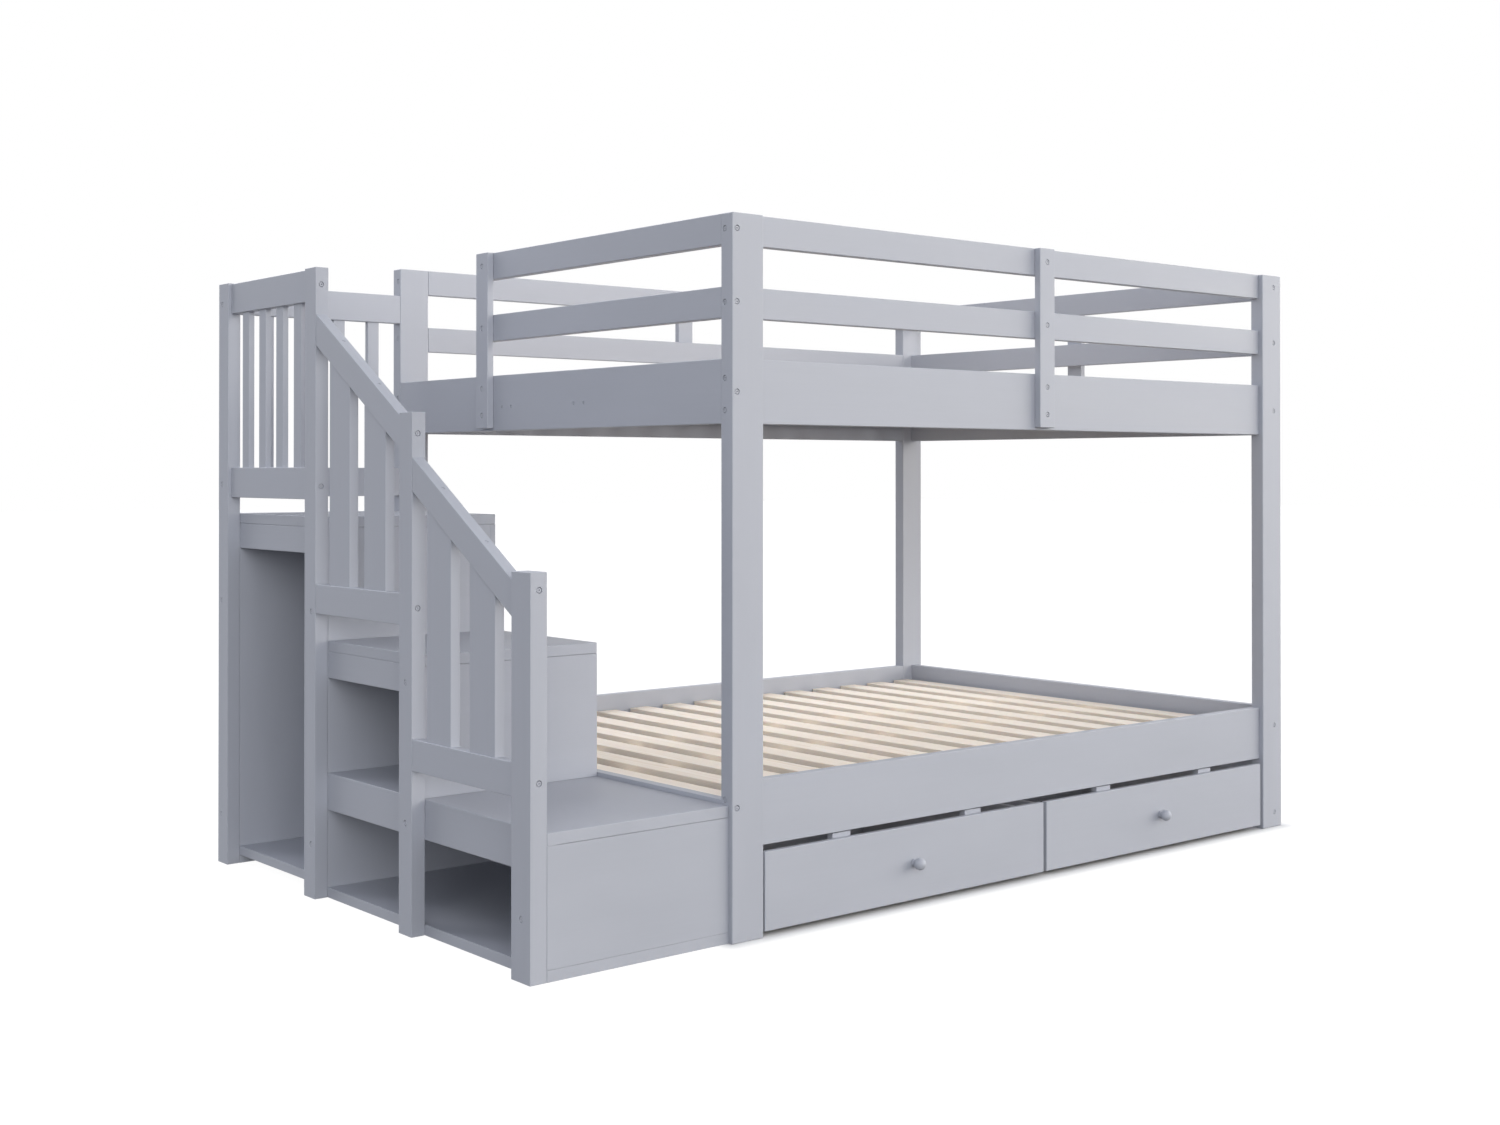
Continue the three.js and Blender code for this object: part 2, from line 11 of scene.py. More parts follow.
import bpy
import numpy as np
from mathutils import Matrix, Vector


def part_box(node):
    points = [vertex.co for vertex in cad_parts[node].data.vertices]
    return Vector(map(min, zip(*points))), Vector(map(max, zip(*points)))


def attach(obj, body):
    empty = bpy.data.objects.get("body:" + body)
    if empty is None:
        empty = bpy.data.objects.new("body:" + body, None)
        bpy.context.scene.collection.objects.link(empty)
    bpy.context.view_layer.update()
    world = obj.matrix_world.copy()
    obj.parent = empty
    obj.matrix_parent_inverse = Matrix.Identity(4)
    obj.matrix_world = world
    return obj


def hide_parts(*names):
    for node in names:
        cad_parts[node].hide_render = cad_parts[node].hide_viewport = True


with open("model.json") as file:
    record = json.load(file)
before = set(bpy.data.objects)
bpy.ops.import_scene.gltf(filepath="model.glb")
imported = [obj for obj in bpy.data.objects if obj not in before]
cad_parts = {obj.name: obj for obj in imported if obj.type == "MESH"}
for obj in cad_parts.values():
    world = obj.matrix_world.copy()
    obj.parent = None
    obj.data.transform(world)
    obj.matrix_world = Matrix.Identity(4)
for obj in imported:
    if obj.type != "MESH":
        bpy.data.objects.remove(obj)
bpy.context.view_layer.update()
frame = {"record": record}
body_of = {node: body for body, nodes in frame["record"]["behaviour"]["bodies"].items() for node in nodes}
MM = 0.001  # metres
rng = np.random.default_rng(11)  # for what differs from board to board

# %% [markdown]
# ## How a board is drawn
# A sawn board is a rectangle carried along a line. Sanding and paint round its edges, so the outline's
# corners are turned on small arcs, and at both ends the outline is drawn in along a quarter circle.
# A bevel modifier could do it too, but one function does both for any outline, so it also serves for
# a step whose section is an L, and the arcs stay exact.

# %% An outline with rounded corners
ARC_STRIPS = 3  # flat strips on each rounded edge


def rounded_outline(corners, radius):
    """A closed outline, listed anticlockwise, with each corner turned on an arc.
    The arc's centre is the corner moved inwards along the sum of its two sides' normals. Its points are
    the centre plus the radius times a normal that swings from one side's to the next side's. At an inner
    corner the centre lies on the other side, and the radius counts as negative."""
    corners = np.asarray(corners, float)
    sides = np.roll(corners, -1, axis=0) - corners
    sides /= np.linalg.norm(sides, axis=1, keepdims=True)
    after = np.stack([sides[:, 1], -sides[:, 0]], axis=1)
    before = np.roll(after, 1, axis=0)
    cross = before[:, 0] * after[:, 1] - before[:, 1] * after[:, 0]
    dot = (before * after).sum(axis=1)
    turn = np.sign(cross)[:, None]
    centres = corners - turn * radius * (before + after) / (1 + dot)[:, None]
    swing = np.arctan2(cross, dot)[:, None] * np.linspace(0, 1, ARC_STRIPS + 1)
    angle = np.arctan2(before[:, 1], before[:, 0])[:, None] + swing
    normals = np.stack([np.cos(angle), np.sin(angle)], axis=2)
    points = centres[:, None] + turn[:, None] * radius * normals
    return points.reshape(-1, 2), normals.reshape(-1, 2)


print("a rectangle becomes", len(rounded_outline([(0, 0), (2, 0), (2, 1), (0, 1)], 0.1)[0]), "points")

# %% An outline carried along an axis
ALONG = {"x": (0, 1, 2), "y": (1, 2, 0), "z": (2, 0, 1)}  # the axis, then the outline's two directions
CORNER_TO_END = 1.15  # an outline's corner radius over the roll of its ends, so that no corner closes up


def grid_faces(rings, count, closed=False):
    """Quads between neighbouring rings of points, each ring joined round to its start."""
    i, j = np.meshgrid(np.arange(rings if closed else rings - 1), np.arange(count), indexing="ij")
    here, there, k = i * count, (i + 1) % rings * count, (j + 1) % count
    return np.stack([here + j, here + k, there + k, there + j], axis=-1).reshape(-1, 4).tolist()


def carried(corners, axis, start, end, edge):
    """An outline carried straight along an axis, with both ends rolled over.
    Near an end the ring at angle a is drawn in by edge times one minus the sine of a, and stands edge
    times one minus the cosine of a from the end."""
    outline, normals = rounded_outline(corners, CORNER_TO_END * edge)
    angle = np.linspace(0, np.pi / 2, ARC_STRIPS + 1)
    drawn, step = edge * (1 - np.sin(angle)), edge * (1 - np.cos(angle))
    drawn = np.concatenate([drawn, drawn[::-1]])
    place = np.concatenate([start + step, end - step[::-1]])
    along, across, up = ALONG[axis]
    points = np.empty((len(place), len(outline), 3))
    points[..., along] = place[:, None]
    points[..., [across, up]] = outline - drawn[:, None, None] * normals
    count, last = len(outline), (len(place) - 1) * len(outline)
    caps = [list(range(count))[::-1], list(range(last, last + count))]
    return points.reshape(-1, 3), grid_faces(len(place), count) + caps


print("a board has", len(carried([(0, 0), (2, 0), (2, 1), (0, 1)], "x", 0, 9, 0.1)[1]), "faces")

# %% [markdown]
# ## Grain that belongs to its board
# Wood grain runs along each board, and no two boards are cut from the same place in a tree. Every board
# therefore carries its own coordinates as an attribute: first along the grain, then across it twice,
# with a shift of its own. Object coordinates would run every board's grain the same way. A material that
# reads the attribute draws long fibres on every board, whichever way it points.

# %% A board with its grain
EDGE = 1.4 * MM  # radius that sanding leaves on a thin board
POST_EDGE = 2.2 * MM  # and on a bed post


def grain_map(points, run):
    """The turn and the shift from the object's axes to a board's own.
    The first axis is the run of the grain. The shift puts the tree's heart somewhere beside the board."""
    run = np.asarray(run, float) / np.linalg.norm(run)
    side = np.cross(run, [1, 0, 0] if abs(run[2]) > 0.9 else [0, 0, 1])
    side /= np.linalg.norm(side)
    turn = np.stack([run, side, np.cross(run, side)])
    shift = rng.uniform([-4, -0.05, 0.02], [4, 0.05, 0.07]) - turn @ points.mean(axis=0)
    return turn, shift


def board(low, high, edge=EDGE):
    """A board between two corners: its section carried along its longest side."""
    low, high = np.asarray(low, float), np.asarray(high, float)
    axis = "xyz"[int(np.argmax(high - low))]
    along, across, up = ALONG[axis]
    (a0, a1), (b0, b1) = (low[across], high[across]), (low[up], high[up])
    points, faces = carried([(a0, b0), (a1, b0), (a1, b1), (a0, b1)], axis, low[along], high[along], edge)
    return {"points": points, "faces": faces, "grain": grain_map(points, np.eye(3)[along])}


def span(node):
    """The lowest and highest corner of a node's box, as arrays."""
    low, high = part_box(node)
    return np.array(low), np.array(high)


print("the bed is", round(float(span("post_front_right")[1][0] - span("post_front_left")[0][0]), 4), "m long")

# %% A piece made of one or more parts
ROUND_TO_SHARP = math.radians(45)  # an edge that turns more than this stays sharp


def joined(parts):
    """The points and faces of several parts as one list of each."""
    starts = np.cumsum([0] + [len(part["points"]) for part in parts])
    faces = [[v + start for v in face] for part, start in zip(parts, starts) for face in part["faces"]]
    return np.concatenate([part["points"] for part in parts]), faces


def finish_mesh(piece, material):
    """Smooth faces with sharp corners kept, and flat sides kept flat by weighting normals by area."""
    piece.data.materials.clear()
    piece.data.materials.append(material)
    piece.data.shade_smooth()
    piece.data.set_sharp_from_angle(angle=ROUND_TO_SHARP)
    piece.modifiers.new("flat_sides", "WEIGHTED_NORMAL").keep_sharp = True


def write_grain(mesh, grain):
    """Stores the grain's coordinates on the mesh's points."""
    attribute = mesh.attributes.get("grain") or mesh.attributes.new("grain", "FLOAT_VECTOR", "POINT")
    attribute.data.foreach_set("vector", np.asarray(grain, np.float32).ravel())


def make_piece(name, parts, material, body, replaces=()):
    """Joins parts into one mesh, hangs it on its body's empty, and hides the model's parts that it stands
    for.
    """
    points, faces = joined(parts)
    mesh = bpy.data.meshes.new(name)
    mesh.from_pydata(points.tolist(), [], faces)
    if all("grain" in part for part in parts):
        write_grain(mesh, np.concatenate([p["points"] @ p["grain"][0].T + p["grain"][1] for p in parts]))
    piece = bpy.data.objects.new(name, mesh)
    bpy.context.scene.collection.objects.link(piece)
    finish_mesh(piece, material)
    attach(piece, body)
    if replaces:
        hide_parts(*replaces)
    return piece


print("edges under", round(math.degrees(ROUND_TO_SHARP)), "degrees are smoothed")

# %% [markdown]
# ## Turned shapes
# Knobs, wheels, bolt heads and the cutters for their seats are all turned on a lathe or pressed in a round
# die. Each is a grid of rings: a radius and a height for every ring, spun about a line. The radius may
# also change round the ring, which is how the hexagon inside a bolt head is drawn.

# %% A profile turned about a line
def turned(radii, heights, place, facing, count=48, closed=False):
    """Rings spun about the line through place along facing.
    A point is place, plus the ring's radius times the cosine and sine of its angle along two directions
    square to facing, plus the ring's height along facing. A closed profile comes back to its first ring."""
    heights = np.asarray(heights, float)
    radii = np.broadcast_to(np.asarray(radii, float).reshape(len(heights), -1), (len(heights), count))
    angle = 2 * np.pi * np.arange(count) / count
    facing = np.asarray(facing, float)
    side = np.cross(facing, [1, 0, 0] if abs(facing[2]) > 0.9 else [0, 0, 1])
    side /= np.linalg.norm(side)
    up = np.cross(facing, side)
    circle = np.cos(angle)[:, None] * side + np.sin(angle)[:, None] * up
    points = np.asarray(place, float) + radii[..., None] * circle + heights[:, None, None] * facing
    last = (len(heights) - 1) * count
    caps = [] if closed else [list(range(count))[::-1], list(range(last, last + count))]
    return {"points": points.reshape(-1, 3), "faces": grid_faces(len(heights), count, closed) + caps}


print("a turned cylinder has", len(turned([1, 1], [0, 1], (0, 0, 0), (0, 0, 1))["faces"]), "faces")

# %% [markdown]
# ## Cutting into a finished board
# A bolt head sits in a seat bored into the wood, and a step is notched round its riser. Both are cut out
# of the finished board with a Boolean modifier whose result is kept. The cut makes new points, so the
# board's grain is worked out again on all of them.

# %% Cutting, and the seats for bolts and screws
SEAT = {"radius": 6.3 * MM, "deep": 4 * MM, "mouth": 0.4 * MM}  # for a bolt
SMALL_SEAT = {"radius": 3.7 * MM, "deep": 2.4 * MM, "mouth": 0.3 * MM}  # for a screw
bolt_places, screw_places = [], []


def carve(piece, part, cutters):
    """Takes closed shapes out of a piece, and works the grain out again."""
    points, faces = joined(cutters)
    mesh = bpy.data.meshes.new("cutter")
    mesh.from_pydata(points.tolist(), [], faces)
    cutter = bpy.data.objects.new("cutter", mesh)
    bpy.context.scene.collection.objects.link(cutter)
    material = piece.data.materials[0]
    piece.modifiers.clear()
    cut = piece.modifiers.new("cut", "BOOLEAN")
    cut.operation, cut.solver, cut.object = "DIFFERENCE", "EXACT", cutter
    bpy.context.view_layer.update()
    carved = bpy.data.meshes.new_from_object(piece.evaluated_get(bpy.context.evaluated_depsgraph_get()))
    piece.modifiers.clear()
    piece.data = carved
    bpy.data.objects.remove(cutter)
    points = np.empty(len(carved.vertices) * 3, np.float32)
    carved.vertices.foreach_get("co", points)
    write_grain(carved, points.reshape(-1, 3) @ part["grain"][0].T + part["grain"][1])
    finish_mesh(piece, material)
    carved.name = piece.name


def cut_seats(piece, part, places, seat):
    """Bores a seat with an eased mouth at each (place, facing)."""
    r, deep, mouth = seat["radius"], seat["deep"], seat["mouth"]
    carve(piece, part, [turned([r, r, r + 2 * mouth], [-deep, -mouth, mouth], place, facing, 32)
                        for place, facing in places])


print("a bolt's seat is", round(2 * SEAT["radius"] / MM, 1), "mm across")

# %% [markdown]
# ## Materials
# The bed is painted softwood and board: a satin water-based lacquer, blue-grey, rolled on. It hides the
# wood's colour, but a little of the grain still lifts it, and the roller leaves a fine orange peel. The
# slats are bare sanded pine, the drawers' bottoms are hardboard in a near-black brown whose darkness is
# painted shade for the slot above the drawers, the bolt heads are steel enamelled in the bed's own colour,
# and the drawers run on nylon wheels. Every one is drawn by nodes, so it stays sharp at any distance.

# %% Helpers for materials
MIX_A, MIX_B, MIX_OUT = 6, 7, 2  # a colour mix node's inputs and output, by their numbers


def linear(hex_colour):
    """An sRGB hex colour as linear red, green, blue and alpha."""
    srgb = np.array([int(hex_colour[i:i + 2], 16) / 255 for i in (1, 3, 5)])
    rgb = np.where(srgb <= 0.04045, srgb / 12.92, ((srgb + 0.055) / 1.055) ** 2.4)
    return (*rgb.tolist(), 1.0)


def per_metre(*lengths):
    """How often patterns of these lengths, in millimetres, fit in a metre."""
    return tuple(1000 / length for length in lengths)


def add(tree, kind, values=None, links=None, **settings):
    """Adds a node with its settings, its inputs' values, and what is linked to them.
    What is linked is a socket, or a node whose first output is meant."""
    new = tree.nodes.new(kind)
    for key, value in settings.items():
        setattr(new, key, value)
    for key, value in (values or {}).items():
        new.inputs[key].default_value = value
    for key, source in (links or {}).items():
        tree.links.new(source if isinstance(source, bpy.types.NodeSocket) else source.outputs[0],
                       new.inputs[key])
    return new


def new_material(name, ior=1.45):
    """An empty material: its node tree and its shader, already joined to the output."""
    material = bpy.data.materials.new(name)
    material.use_nodes = True
    tree = material.node_tree
    tree.nodes.clear()
    shader = add(tree, "ShaderNodeBsdfPrincipled", {"IOR": ior})
    add(tree, "ShaderNodeOutputMaterial", links={"Surface": shader})
    return material, tree, shader


print("the lacquer's grey is", [round(v, 3) for v in linear("#adb0b9")[:3]], "in linear values")

# %% Satin lacquer on wood
# What the eye gets: an even blue-grey with a soft sheen, a tone that drifts by a percent or two along
# a board, faint raised fibres, and an orange peel that only shows where light grazes the surface.
LACQUER_DARK, LACQUER_LIGHT = "#a7aab3", "#adb0b9"
painted_wood, tree, shader = new_material("painted_wood_satin_lacquer", 1.48)
grain = add(tree, "ShaderNodeAttribute", attribute_name="grain").outputs["Vector"]
slow = add(tree, "ShaderNodeVectorMath", {1: per_metre(450, 110, 110)}, {0: grain}, operation="MULTIPLY")
drift = add(tree, "ShaderNodeTexNoise", {"Scale": 1, "Detail": 2}, {"Vector": slow})
fine = add(tree, "ShaderNodeVectorMath", {1: per_metre(200, 3.8, 3.8)}, {0: grain}, operation="MULTIPLY")
fibre = add(tree, "ShaderNodeTexNoise", {"Scale": 1, "Detail": 4, "Roughness": 0.6}, {"Vector": fine})
# the roller's peel is finer than this in truth, and is drawn 2.4 mm wide so that it shows
dots = add(tree, "ShaderNodeVectorMath", {1: per_metre(2.4, 2.4, 2.4)}, {0: grain}, operation="MULTIPLY")
peel = add(tree, "ShaderNodeTexNoise", {"Scale": 1, "Detail": 2}, {"Vector": dots})
tone = add(tree, "ShaderNodeMath", {1: 0.25}, {0: fibre, 2: drift}, operation="MULTIPLY_ADD")
share = add(tree, "ShaderNodeMapRange", {"From Min": 0.35, "From Max": 0.9}, {"Value": tone})
colour = add(tree, "ShaderNodeMix", {MIX_A: linear(LACQUER_DARK), MIX_B: linear(LACQUER_LIGHT)}, {0: share},
             data_type="RGBA")
sheen = add(tree, "ShaderNodeMapRange", {"From Min": 0.3, "From Max": 0.7, "To Min": 0.46, "To Max": 0.58},
            {"Value": drift})
relief = add(tree, "ShaderNodeMath", {1: 0.6}, {0: fibre, 2: peel}, operation="MULTIPLY_ADD")
bump = add(tree, "ShaderNodeBump", {"Strength": 0.22, "Distance": 0.12 * MM}, {"Height": relief})
tree.links.new(colour.outputs[MIX_OUT], shader.inputs["Base Color"])
tree.links.new(sheen.outputs[0], shader.inputs["Roughness"])
tree.links.new(bump.outputs[0], shader.inputs["Normal"])
print(painted_wood.name, "has", len(tree.nodes), "nodes")

# %% Bare sanded pine
# What the eye gets: pale cream wood with slightly darker late wood. The rings are cylinders round the
# tree's heart, cut by the board's faces, so they show as lines on the edges and as long arches on top.
RING = 3.1 * MM
pine, tree, shader = new_material("bare_sanded_pine", 1.45)
grain = add(tree, "ShaderNodeAttribute", attribute_name="grain").outputs["Vector"]
slow = add(tree, "ShaderNodeVectorMath", {1: per_metre(900, 200, 200)}, {0: grain}, operation="MULTIPLY")
sway = add(tree, "ShaderNodeTexNoise", {"Scale": 1, "Detail": 2}, {"Vector": slow})
heart = add(tree, "ShaderNodeVectorMath", {1: (0, 45 * MM, 30 * MM)}, {0: sway}, operation="MULTIPLY")
moved = add(tree, "ShaderNodeVectorMath", {}, {0: grain, 1: heart}, operation="ADD")
across = add(tree, "ShaderNodeVectorMath", {1: (0, 1, 1)}, {0: moved}, operation="MULTIPLY")
radius = add(tree, "ShaderNodeVectorMath", {}, {0: across}, operation="LENGTH").outputs["Value"]
years = add(tree, "ShaderNodeMath", {1: RING}, {0: radius}, operation="DIVIDE")
season = add(tree, "ShaderNodeMath", {}, {0: years}, operation="FRACT")
late_wood = add(tree, "ShaderNodeValToRGB", {}, {0: season})
stops = late_wood.color_ramp.elements
stops[0].position, stops[0].color = 0.35, (0, 0, 0, 1)
stops[1].position, stops[1].color = 0.86, (1, 1, 1, 1)
stops.new(1.0).color = (0, 0, 0, 1)
fine = add(tree, "ShaderNodeVectorMath", {1: per_metre(143, 2.4, 2.4)}, {0: grain}, operation="MULTIPLY")
fibre = add(tree, "ShaderNodeTexNoise", {"Scale": 1, "Detail": 4, "Roughness": 0.65}, {"Vector": fine})
wide = add(tree, "ShaderNodeVectorMath", {1: per_metre(1100, 330, 330)}, {0: grain}, operation="MULTIPLY")
board_tone = add(tree, "ShaderNodeTexNoise", {"Scale": 1, "Detail": 1}, {"Vector": wide})
colour = add(tree, "ShaderNodeMix", {MIX_A: linear("#f3e9dc"), MIX_B: linear("#e9dbc8")}, {0: late_wood},
             data_type="RGBA")
fibre_shade = add(tree, "ShaderNodeMapRange",
                  {"From Min": 0.25, "From Max": 0.75, "To Min": 0.955, "To Max": 1.02}, {"Value": fibre})
board_shade = add(tree, "ShaderNodeMapRange",
                  {"From Min": 0.3, "From Max": 0.7, "To Min": 0.965, "To Max": 1.02}, {"Value": board_tone})
both = add(tree, "ShaderNodeMath", {}, {0: fibre_shade, 1: board_shade}, operation="MULTIPLY")
toned = add(tree, "ShaderNodeVectorMath", {}, {0: colour.outputs[MIX_OUT], 3: both}, operation="SCALE")
dull = add(tree, "ShaderNodeMapRange", {"From Min": 0.3, "From Max": 0.7, "To Min": 0.58, "To Max": 0.72},
           {"Value": fibre})
bump = add(tree, "ShaderNodeBump", {"Strength": 0.3, "Distance": 0.15 * MM}, {"Height": fibre})
tree.links.new(toned.outputs[0], shader.inputs["Base Color"])
tree.links.new(dull.outputs[0], shader.inputs["Roughness"])
tree.links.new(bump.outputs[0], shader.inputs["Normal"])
shader.inputs["Subsurface Weight"].default_value = 0.3  # bare wood lets some light in, and warms it
shader.inputs["Subsurface Radius"].default_value = (1.0, 0.7, 0.45)
shader.inputs["Subsurface Scale"].default_value = 4 * MM
print(pine.name, "has", len(tree.nodes), "nodes and rings", round(RING / MM, 1), "mm apart")

# %% [markdown]
# ## Even finishes
# Hardboard, enamel, zinc plate and moulded nylon have no direction. One fine noise gives each its tone,
# its gloss and its relief, so what is paler is also rougher and higher. They differ in grit, the width of
# that noise. It is read from Object coordinates, because there is no grain to follow.

# %% Finishes with a fine grit
def even_finish(name, ior, grit, tones, gloss, noise, relief=None, metallic=0.0):
    """A finish whose tone, gloss and height follow one noise, grit millimetres wide."""
    material, tree, shader = new_material(name, ior)
    place = add(tree, "ShaderNodeTexCoord").outputs["Object"]
    near = add(tree, "ShaderNodeVectorMath", {1: per_metre(grit, grit, grit)}, {0: place},
               operation="MULTIPLY")
    speck = add(tree, "ShaderNodeTexNoise", {"Scale": 1, **noise}, {"Vector": near})
    colour = add(tree, "ShaderNodeMix", {MIX_A: linear(tones[0]), MIX_B: linear(tones[1])}, {0: speck},
                 data_type="RGBA")
    sheen = add(tree, "ShaderNodeMapRange",
                {"From Min": 0.3, "From Max": 0.7, "To Min": gloss[0], "To Max": gloss[1]}, {"Value": speck})
    tree.links.new(colour.outputs[MIX_OUT], shader.inputs["Base Color"])
    tree.links.new(sheen.outputs[0], shader.inputs["Roughness"])
    if relief:
        strength, height = relief
        bump = add(tree, "ShaderNodeBump", {"Strength": strength, "Distance": height * MM}, {"Height": speck})
        tree.links.new(bump.outputs[0], shader.inputs["Normal"])
    shader.inputs["Metallic"].default_value = metallic
    print(name, "has", len(tree.nodes), "nodes")
    return material


# a thin sheet pressed from wood fibres, smooth, with short flecks that lie every way; they are
# a millimetre or two long and are drawn 3 mm wide. Its near-black brown is darker than the board's own
# colour: the dark tone is painted shade for the slot above the drawers
slot_shade_hardboard = even_finish("hardboard_painted_slot_shade", 1.5, 3, ("#33261c", "#4d3a2b"), (0.5, 0.65),
                        {"Detail": 5, "Roughness": 0.7}, (0.2, 0.1))
# bolt heads in the bed's own grey, smoother and shinier than the wood, with the faint waviness of baked
# paint, drawn 1.7 mm wide
enamel = even_finish("enamelled_steel", 1.5, 1.7, (LACQUER_DARK, LACQUER_LIGHT), (0.3, 0.42), {"Detail": 2},
                     (0.15, 0.05))
# the wheels' pins: a grey metal with a soft, slightly cloudy shine; as a metal it keeps the default IOR
zinc = even_finish("zinc_plated_steel", 1.5, 1.7, ("#9da1aa", "#b4b7bf"), (0.28, 0.42), {"Detail": 3},
                   metallic=1.0)
# near black, with the fine matt texture that the mould leaves, drawn 0.7 mm wide
nylon = even_finish("moulded_nylon", 1.53, 0.7, ("#2a2a2d", "#343437"), (0.45, 0.6), {"Detail": 2},
                    (0.3, 0.1))

# %% [markdown]
# ## Bed posts and uprights
# The four corner posts carry both beds. Cross dowels sit inside the rails, and the bolts that pull them
# tight come through the posts, so each post has a row of seats on its two outer faces. The short uprights
# are bolted to the outside of the guard rails in the same way. Real bored seats are used, and not dark
# rings painted on, because their shadow turns with the light.

# %% Where the bolts are
rail_bolts = [float(sum(span(f"guard_{row}_front"))[2]) / 2 for row in ("top", "middle")]
upper_bottom = float(span("upper_panel_front")[0][2])
lower_bottom = float(span("lower_panel_front")[0][2])
LONG_UPPER, LONG_LOWER = [28 * MM, 96 * MM], [35 * MM, 106 * MM]  # over the panels' bottoms
END_UPPER, END_LOWER, UPRIGHT_PANEL = 67 * MM, 90 * MM, [38 * MM, 105 * MM]
FOOT_BOLT = 41 * MM
long_side = rail_bolts + [upper_bottom + z for z in LONG_UPPER] + [lower_bottom + z for z in LONG_LOWER]
short_side = rail_bolts + [upper_bottom + END_UPPER, lower_bottom + END_LOWER]
OUT = {"front": (0, -1, 0), "back": (0, 1, 0), "left": (-1, 0, 0), "right": (1, 0, 0)}


def face_of(low, high, side):
    """The outer face of a box on a side, as the value of its axis."""
    return {"front": low[1], "back": high[1], "left": low[0], "right": high[0]}[side]


def painted(node, parts, name="wood"):
    """A painted piece that stands for a node, or for a named share of it."""
    return make_piece(f"{node}_{name}", parts, painted_wood, body_of[node], [node])


def post_with_seats(node, places, edge):
    """A post drawn afresh in its node's box, with a seat bored at each place."""
    part = board(*span(node), edge)
    cut_seats(painted(node, [part]), part, places, SEAT)
    bolt_places.extend(places)


print("bolts on the long sides at", [round(z, 3) for z in long_side], "m")

# %% Corner posts
for end in ("left", "right"):
    for side in ("front", "back"):
        low, high = span(f"post_{side}_{end}")
        bolt_x = float(sum(span(f"guard_top_{end}"))[0]) / 2  # middle of the end rails
        bolt_y = float(sum(span(f"guard_top_{side}"))[1]) / 2
        outwards = short_side + ([FOOT_BOLT] if end == "right" else [])
        places = [((bolt_x, face_of(low, high, side), z), OUT[side]) for z in outwards]
        places += [((face_of(low, high, end), bolt_y, z), OUT[end]) for z in long_side]
        post_with_seats(f"post_{side}_{end}", places, POST_EDGE)
print(len(bolt_places), "bolts in the corner posts")

# %% Uprights
for side in ("front", "back", "left", "right"):
    low, high = span(f"upright_{side}")
    middle, face = (low + high) / 2, face_of(low, high, side)
    heights = rail_bolts + [upper_bottom + z for z in UPRIGHT_PANEL]
    if side in ("front", "back"):
        places = [((middle[0], face, z), OUT[side]) for z in heights]
    else:
        places = [((face, middle[1], z), OUT[side]) for z in heights]
    post_with_seats(f"upright_{side}", places, EDGE)
print(len(bolt_places), "bolts with the uprights")

# %% [markdown]
# ## Rails and side panels
# The long panels carry the slats on a ledger, a square strip glued and screwed along the inner face.
# The node holds panel and ledger in one, so the ledger's size is given here and its place follows from
# the slats. The end panels of the upper bed are screwed to the ends of the two beams under the slats.

# %% Rails and lower end panels
single_boards = [f"guard_{row}_{side}" for row in ("top", "middle") for side in OUT]
single_boards += ["lower_panel_left", "lower_panel_right"]
for node in single_boards:
    painted(node, [board(*span(node))])
print(len(single_boards), "rails and end panels")

# %% Long panels with their ledgers
PANEL_THICK, LEDGER_HIGH, SLAT_THICK = 25 * MM, 25 * MM, 20 * MM
FIT = 0.3 * MM  # between pieces that rest on each other
for level in ("upper", "lower"):
    seat_z = float(span(f"{level}_slat_base")[1][2]) - SLAT_THICK - FIT
    for side in ("front", "back"):
        low, high = span(f"{level}_panel_{side}")
        middle_y = low[1] + PANEL_THICK if side == "front" else high[1] - PANEL_THICK
        outer, inner = (low[1], middle_y), (middle_y, high[1])
        if side == "back":
            outer, inner = (middle_y, high[1]), (low[1], middle_y)
        panel = board((low[0], outer[0], low[2]), (high[0], outer[1], high[2]))
        ledger = board((low[0], inner[0], seat_z - LEDGER_HIGH), (high[0], inner[1], seat_z), 1 * MM)
        painted(f"{level}_panel_{side}", [panel, ledger])
print("ledgers are", round(float(inner[1] - inner[0]) / MM), "mm deep")

# %% End panels of the upper bed, with screws into the beams
BEAM = {"offset": 156 * MM, "wide": 66 * MM, "thick": 22 * MM}
SCREW_SPREAD = 20.5 * MM
beam_z = float(span("upper_slat_base")[0][2]) + BEAM["thick"] / 2
for side in ("left", "right"):
    low, high = span(f"upper_panel_{side}")
    middle_y = float(low[1] + high[1]) / 2
    places = [((face_of(low, high, side), middle_y + beam + screw, beam_z), OUT[side])
              for beam in (-BEAM["offset"], BEAM["offset"]) for screw in (-SCREW_SPREAD, SCREW_SPREAD)]
    part = board(low, high)
    cut_seats(painted(f"upper_panel_{side}", [part]), part, places, SMALL_SEAT)
    screw_places.extend(places)
print(len(screw_places), "screws in the end panels")

# %% [markdown]
# ## Slats
# Sixteen bare pine slats lie across each bed, over two lengthwise beams. They are sawn from different
# boards, so each one has its own place in a tree, and small differences in where it lies: the carpenter
# spaces them with a block, not with a ruler. An array modifier would make them all the same.

